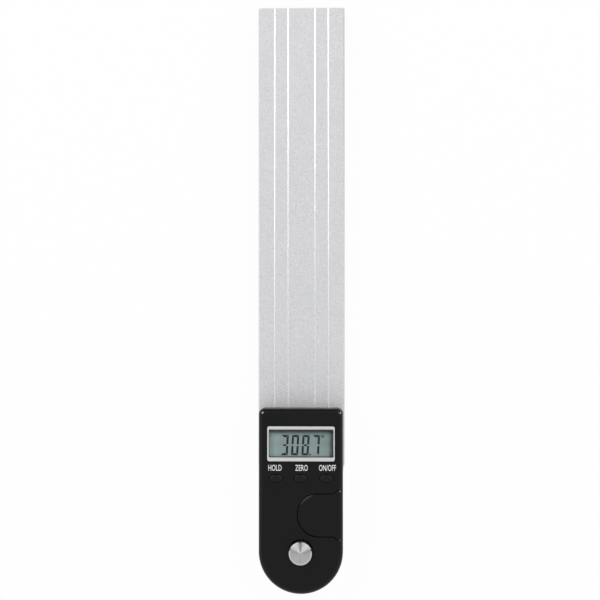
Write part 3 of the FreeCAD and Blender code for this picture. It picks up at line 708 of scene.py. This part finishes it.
# A figure's width, height, stroke and slant, its foot, and the gaps round its segments.
w, h, t, slant = 2.66, 7.40, 0.80, 0.0595
digit_low, gap, waist = 34.80, 0.05, 0.30
upper, lower = h / 2 + waist, h / 2 - waist
segments = {
    "a": [(gap + 0.06, h), (t + gap, h - t), (w - t - gap, h - t), (w - gap - 0.06, h)],
    "d": [(gap + 0.06, 0), (w - gap - 0.06, 0), (w - t - gap, t), (t + gap, t)],
    "f": [(0, h - gap - 0.1), (0, upper), (t * 0.45, upper - 0.06), (t, upper + 0.12), (t, h - t - gap)],
    "b": [(w, h - gap - 0.1), (w - t, h - t - gap), (w - t, upper + 0.12), (w - t * 0.45, upper - 0.06),
          (w, upper)],
    "e": [(0, gap + 0.1), (t, t + gap), (t, lower - 0.12), (t * 0.45, lower + 0.06), (0, lower)],
    "c": [(w, gap + 0.1), (w, lower), (w - t * 0.45, lower + 0.06), (w - t, lower - 0.12),
          (w - t, t + gap)],
    "g": [(t * 0.75, h / 2), (t * 1.3, h / 2 - t * 0.45), (w - t * 1.3, h / 2 - t * 0.45),
          (w - t * 0.75, h / 2), (w - t * 1.3, h / 2 + t * 0.45), (t * 1.3, h / 2 + t * 0.45)],
}
shown = [("abgcd", -4.845), ("abcdef", -1.03), ("abcdefg", 2.785), ("abc", 6.60)]
figures = bmesh.new()


def stand_up(outline, z0=16.2, z1=16.23):
    """A flat outline on the glass, given a little thickness."""
    low = [figures.verts.new((x, y, z0)) for x, y in outline]
    high = [figures.verts.new((x, y, z1)) for x, y in outline]
    figures.faces.new(low[::-1])
    figures.faces.new(high)
    for i in range(len(outline)):
        j = (i + 1) % len(outline)
        figures.faces.new((low[i], low[j], high[j], high[i]))


for lit_segments, right in shown:
    for letter in lit_segments:
        stand_up([(right - w + x + slant * y, digit_low + y) for x, y in segments[letter]])
decimal_point = [(3.05, 34.80), (3.58, 34.80), (3.61, 35.33), (3.08, 35.33)]
stand_up(decimal_point)
degree_x, degree_y, degree_inner, degree_outer, part_turn = 7.92, 41.72, 0.31, 0.57, 15
for start in range(0, 360, part_turn):
    inner = arc(degree_x, degree_y, degree_inner, start, start + part_turn, 1)
    outer = arc(degree_x, degree_y, degree_outer, start, start + part_turn, 1)
    stand_up([inner[0], outer[0], outer[1], inner[1]])
figures_mesh = bpy.data.meshes.new("figures")
bmesh.ops.recalc_face_normals(figures, faces=figures.faces)
figures.to_mesh(figures_mesh)
digits = bpy.data.objects.new("figures", figures_mesh)
scene.collection.objects.link(digits)
settle(digits, "display_figures", ink, "head", "display_glass")


# The keys' names, pad printed in white ink on the head's face, one above each key. The words are plain
# ones that any such tool has.
print_white = Finish("white_print", {"Specular IOR Level": 0.3})
cover_share = print_white.grain(0.25, 2.0, 1.2)
print_white.colour((0.76, 0.76, 0.77), 0.08, cover_share)
print_white.rough(0.45, 0.6, cover_share)

label_low, label_high = 29.44, 31.62
for word, left, right in (("HOLD", -11.75, -6.9), ("ZERO", -1.98, 2.60), ("ON/OFF", 6.68, 12.84)):
    letters = bpy.data.curves.new(word, "FONT")
    letters.body = word
    letters.size = 3.0
    letters.offset = 0.028
    letters.extrude = 0.01
    letters.resolution_u = 4
    source = bpy.data.objects.new(word, letters)
    scene.collection.objects.link(source)
    flat = bpy.data.meshes.new_from_object(source.evaluated_get(bpy.context.evaluated_depsgraph_get()))
    bpy.data.objects.remove(source)
    points = np.array([v.co for v in flat.vertices])
    low, high = points.min(0), points.max(0)
    flat.transform(Matrix.Translation((left, label_low, 19.5)) @ Matrix.Diagonal(
        ((right - left) / (high[0] - low[0]), (label_high - label_low) / (high[1] - low[1]), 1, 1))
        @ Matrix.Translation((-low[0], -low[1], -low[2])))
    label = bpy.data.objects.new(word, flat)
    scene.collection.objects.link(label)
    settle(label, "label_" + word.split("/")[0].lower(), print_white, "head", "button_black")


# The lock knob: turned from aluminium bar, its wall straight knurled, its rim chamfered and polished,
# its slightly coned face left with the fine rings of the tool, which spread reflections along its radius.
def cut_flutes(tree, wires):
    """Every point of the wall drawn in along its radius, in as many V flutes as asked."""
    place = tree.node("GeometryNodeInputPosition", {}, {})
    parts = tree.node("ShaderNodeSeparateXYZ", {}, {"Vector": place})
    turn = parts.out("Y").math("ARCTAN2", parts)
    share = (turn * wires["Flutes"] / (2 * math.pi)).math("PINGPONG", 0.5) * 2
    height = parts.out("Z")
    above = (height - wires["Low"]) / wires["Run-out"]
    below = (wires["High"] - height) / wires["Run-out"]
    band = above.math("MINIMUM", below).math("MINIMUM", 1.0).math("MAXIMUM", 0.0)
    radius = parts.math("MULTIPLY", parts) + parts.out("Y") * parts.out("Y")
    outside = radius.math("SQRT").math("GREATER_THAN", wires["Wall radius"] - 0.01)
    pull = share * band * outside * wires["Depth"] * -1
    flat = tree.node("ShaderNodeCombineXYZ", {}, {"X": parts, "Y": parts.out("Y")})
    outwards = tree.node("ShaderNodeVectorMath", {"operation": "NORMALIZE"}, {0: flat})
    offset = tree.node("ShaderNodeVectorMath", {"operation": "SCALE"}, {0: outwards, "Scale": pull})
    moved = tree.node("GeometryNodeSetPosition", {}, {"Geometry": wires["Geometry"], "Offset": offset})
    whole = tree.node("GeometryNodeRealizeInstances", {}, {"Geometry": moved})
    return tree.node("GeometryNodeSetMaterial", {}, {"Geometry": whole, "Material": wires["Metal"]})


flutes = recipe("flutes", {"Flutes": 44.0, "Wall radius": 4.18, "Depth": 0.17, "Low": 18.35, "High": 23.3,
                           "Run-out": 0.2, "Metal": ""}, cut_flutes)


def from_axis(spot):
    """How far a place is from the pivot's axis, in millimetres."""
    return (spot * spot + spot.out("Y") * spot.out("Y")).math("SQRT") * 1000


def tool_marks(finish, distance, scale):
    """Fine rings about the axis, as a turning tool leaves them."""
    sockets = {"W": distance, "Scale": scale, "Detail": 3.0}
    return finish.node("ShaderNodeTexNoise", {"noise_dimensions": "1D"}, sockets)


turned = Finish("turned_aluminium", {"Metallic": 1.0, "Anisotropic": 0.85, "Anisotropic Rotation": 0.25})
spot = turned.split()
distance = from_axis(spot)
marks = tool_marks(turned, distance, 9.0)
on_face = distance.math("LESS_THAN", 3.82) * (spot.out("Z") * 1000).math("GREATER_THAN", 23.3)
speck = turned.grain(0.12, 2.0, 1.4)
polish = distance.math("GREATER_THAN", 3.45) * 0.4
turned.colour((0.56, 0.56, 0.57), 0.15, marks * 0.3 + speck * 0.2 + polish)
turned.feed("Roughness", on_face * 0.20 + 0.18 + speck * 0.06)
ring_slope, cone_slope, centre_guard = 0.3, 0.29, 0.05
tilt = (on_face * (marks - 0.5) * ring_slope + on_face * cone_slope) / (distance + centre_guard)
side_x, side_y = spot * 1000 * tilt, spot.out("Y") * 1000 * tilt
leaning = turned.node("ShaderNodeCombineXYZ", {}, {"X": side_x, "Y": side_y})
still = turned.node("ShaderNodeNewGeometry", {}, {}, "Normal")
bent = turned.node("ShaderNodeVectorMath", {"operation": "ADD"}, {0: still, 1: leaning})
turned.feed("Normal", turned.node("ShaderNodeVectorMath", {"operation": "NORMALIZE"}, {0: bent}))


def lathe(name, profile, steps):
    """A turned form from (radius, height) pairs, bottom to top."""
    return shell(name, [(arc(0, 0, r, 0, 360, steps)[:-1], z) for r, z in profile])


knob_profile = [(4.0, 18.15), (4.18, 18.35), (4.18, 18.55), (4.18, 20.5), (4.18, 23.1), (4.15, 23.2),
                (3.90, 23.43), (3.82, 23.5), (2.4, 23.5), (0.6, 23.5)]
knob = lathe("lock_knob", knob_profile, 352)
thread_bore = bar(0, 0, 2.0, 17, 22.2, 48)
carve(knob, [thread_bore])
follow(knob, flutes, {"Metal": turned.material})
soften(knob, 22)
settle(knob, "turned_knob", None, "knob", "knob_turned", "lock_knob")


# The pivot's shaft: turned steel with a broad flange let into the rear arm's back, flats that key it to
# that arm, a plain journal and a threaded end for the knob.
steel = Finish("turned_steel", {"Metallic": 1.0})
rings_cut = tool_marks(steel, from_axis(steel.split()), 7.0)
dust = steel.grain(0.4, 2.0, 1.2)
steel.colour((0.62, 0.61, 0.60), 0.10, rings_cut * 0.6 + dust * 0.4)
steel.rough(0.24, 0.40, rings_cut)
steel.bump(rings_cut, 0.012)

shaft_profile = [(5.8, 0.0), (6.0, 0.2), (6.0, 1.25), (5.85, 1.4), (3.5, 1.4), (3.5, 5.0), (3.0, 5.0),
                 (3.0, 17.0), (2.5, 17.0), (2.5, 18.15), (1.95, 18.15), (1.95, 21.4), (1.75, 21.6)]
shaft = lathe("shaft", shaft_profile, 96)
flats = []
for side in (-1, 1):
    low, high = sorted((side * 3.0, side * 7.0))
    flats.append(block(low, high, -8, 8, 1.4, 5.0))
    low, high = sorted((side * 2.1, side * 7.0))
    flats.append(block(low, high, -8, 8, 17.0, 18.15))
carve(shaft, flats)
soften(shaft, 28)
settle(shaft, "steel_shaft", steel, "swing", "shaft_steel", "pivot_shaft")


# Four countersunk screws of plated steel with crossed recesses, driven from the front arm's back into
# the posts inside the head.
plated = Finish("plated_steel", {"Metallic": 1.0})
scuff = plated.grain(0.3, 3.0, 1.3)
plated.colour((0.60, 0.60, 0.61), 0.12, scuff)
plated.rough(0.26, 0.42, scuff)
one_screw = lathe("screw", [(1.8, 0.0), (1.9, 0.05), (1.0, 0.95), (1.0, 8.2), (0.7, 8.6)], 40)
carve(one_screw, [block(-0.95, 0.95, -0.175, 0.175, -1, 0.6), block(-0.175, 0.175, -0.95, 0.95, -1, 0.6)])
soften(one_screw, 30)


def place_screws(tree, wires):
    """One screw set on every point."""
    screw = tree.node("GeometryNodeObjectInfo", {}, {"Object": wires["Screw"]}, "Geometry")
    row = tree.node("GeometryNodeMeshToPoints", {}, {"Mesh": wires["Geometry"]})
    scattered = tree.node("GeometryNodeInstanceOnPoints", {}, {"Points": row, "Instance": screw})
    whole = tree.node("GeometryNodeRealizeInstances", {}, {"Geometry": scattered})
    return tree.node("GeometryNodeSetMaterial", {}, {"Geometry": whole, "Material": wires["Metal"]})


screw_row = recipe("screw_row", {"Screw": None, "Metal": ""}, place_screws)
places = bpy.data.meshes.new("screws")
places.from_pydata([(x, y, 5.6) for x, y in screw_places], [], [])
screws = bpy.data.objects.new("screws", places)
scene.collection.objects.link(screws)
follow(screws, screw_row, {"Screw": one_screw, "Metal": plated.material})
bpy.data.objects.remove(one_screw)
settle(screws, "head_screws", None, "head", "screw_steel", "cover_screws")


# What lies inside the head keeps its own form and gets its own finish: the cell in its nickel-plated
# can, bent contacts, the display's white holder and rubber strip, the board with what it carries.
def dress(node, finish):
    nodes[node].data.materials.clear()
    nodes[node].data.materials.append(finish.material)


can = Finish("nickel_can", {"Metallic": 0.6})
rub = can.grain(0.8, 3.0, 1.2)
can.colour((0.50, 0.49, 0.47), 0.10, rub)
can.rough(0.34, 0.46, rub)
for node in ("battery_cell", "clock_crystal"):
    dress(node, can)

leaf = Finish("nickel_leaf", {"Metallic": 1.0})
rolled = leaf.grain(0.15, 2.0, 1.4, (1, 12, 1))
leaf.colour((0.66, 0.65, 0.62), 0.08, rolled)
leaf.rough(0.26, 0.40, rolled)
for node in ("battery_contact_negative", "battery_contact_positive"):
    dress(node, leaf)

holder = Finish("white_moulding", {"Specular IOR Level": 0.45})
grit = holder.grain(0.4, 2.0, 1.3)
holder.colour((0.74, 0.74, 0.72), 0.05, grit)
holder.rough(0.42, 0.56, grit)
dress("lcd_holder", holder)

layers = Finish("layered_rubber", {"Specular IOR Level": 0.3})
layer_pitch = 0.16
rows = (layers.split() * 1000 / layer_pitch).math("PINGPONG", 0.5)
layers.colour((0.10, 0.10, 0.11), 0.8, rows * 2)
layers.rough(0.55, 0.75, layers.grain(0.3))
dress("contact_strip", layers)

laminate = Finish("green_laminate", {"Specular IOR Level": 0.5})
cells = laminate.node("ShaderNodeTexVoronoi", {"feature": "DISTANCE_TO_EDGE", "distance": "CHEBYCHEV"},
                      {"Vector": laminate.place, "Scale": 420.0, "Randomness": 0.35})
tracks = cells.math("LESS_THAN", 0.09)
weave = laminate.grain(0.35, 2.0, 1.3)
under = laminate.mix(weave, (0.012, 0.085, 0.035, 1), (0.016, 0.105, 0.045, 1))
laminate.feed("Base Color", laminate.mix(tracks, under, (0.03, 0.17, 0.07, 1)))
laminate.rough(0.28, 0.42, weave)
laminate.bump(tracks, 0.03)
dress("circuit_board", laminate)

epoxy = Finish("black_epoxy", {"Specular IOR Level": 0.4})
dull = epoxy.grain(0.25, 3.0, 1.3)
epoxy.colour((0.012, 0.012, 0.013), 0.3, dull)
epoxy.rough(0.45, 0.65, dull)
epoxy.bump(dull, 0.01)
dress("processor_chip", epoxy)


# The three snap domes behind the keys, and round the shaft the bent spring and the keyed washer that the
# knob bears on: spring steel sheet, pressed and polished.
spring = Finish("spring_steel", {"Metallic": 1.0})
pressed = spring.grain(0.2, 2.0, 1.3)
spring.colour((0.58, 0.58, 0.59), 0.10, pressed)
spring.rough(0.22, 0.36, pressed)
for node in ("hold_dome", "zero_dome", "power_dome", "bent_spring", "clamp_washer"):
    dress(node, spring)


# The pivot's bearings: a flanged bush of oiled bronze, let into the front arm from the head's side, and
# a slip washer of white nylon between the two arms.
bronze = Finish("oiled_bronze_and_gap_shade", {"Metallic": 1.0})
shade = bronze.grain(0.5, 3.0, 1.2, (1, 1, 0.3))
# The bush's dark colour is partly oiled bronze and partly painted shade for the gap round the knob, where it
# shows.
bronze.colour((0.20, 0.13, 0.065), 0.25, shade)
bronze.rough(0.34, 0.50, shade)
dress("pivot_bush", bronze)

nylon = Finish("white_nylon", {"Specular IOR Level": 0.45})
milk = nylon.grain(1.5, 3.0, 1.2)
nylon.colour((0.70, 0.69, 0.64), 0.05, milk)
nylon.rough(0.40, 0.55, milk)
dress("thrust_washer", nylon)


# The angle sensor: a laminate ring in each arm with gold-plated pads all round, and the amber ribbon
# that leads its signals through the front arm to the board.
def pad_ring(name, pads):
    """Laminate with a ring of gold-plated pads."""
    pad_finish = Finish(name, {"Specular IOR Level": 0.5})
    spot = pad_finish.split()
    turn = spot.out("Y").math("ARCTAN2", spot)
    pad_radius, pad_half = 8.05, 0.62
    stripe = (turn * (pads / math.pi)).math("PINGPONG", 1.0).math("GREATER_THAN", 0.45)
    track = (from_axis(spot) - pad_radius).math("ABSOLUTE").math("LESS_THAN", pad_half)
    pad = stripe * track
    wear = pad_finish.grain(0.4, 2.0, 1.2)
    base = pad_finish.mix(wear, (0.012, 0.085, 0.035, 1), (0.016, 0.10, 0.045, 1))
    pad_finish.feed("Base Color", pad_finish.mix(pad, base, (0.78, 0.56, 0.22, 1)))
    pad_finish.feed("Metallic", pad)
    pad_finish.rough(0.26, 0.40, wear)
    return pad_finish


dress("encoder_rotor", pad_ring("rotor_pads", 48))
dress("encoder_stator", pad_ring("stator_pads", 96))

amber = Finish("amber_ribbon", {"Specular IOR Level": 0.5})
conductor_pitch = 0.5
conductors = (amber.split() * 1000 / conductor_pitch).math("PINGPONG", 0.5).math("GREATER_THAN", 0.3)
film = amber.grain(0.8, 2.0, 1.2)
clean = amber.mix(film, (0.52, 0.20, 0.03, 1), (0.60, 0.25, 0.045, 1))
amber.feed("Base Color", amber.mix(conductors, clean, (0.70, 0.36, 0.10, 1)))
amber.rough(0.28, 0.42, film)
dress("encoder_cable", amber)
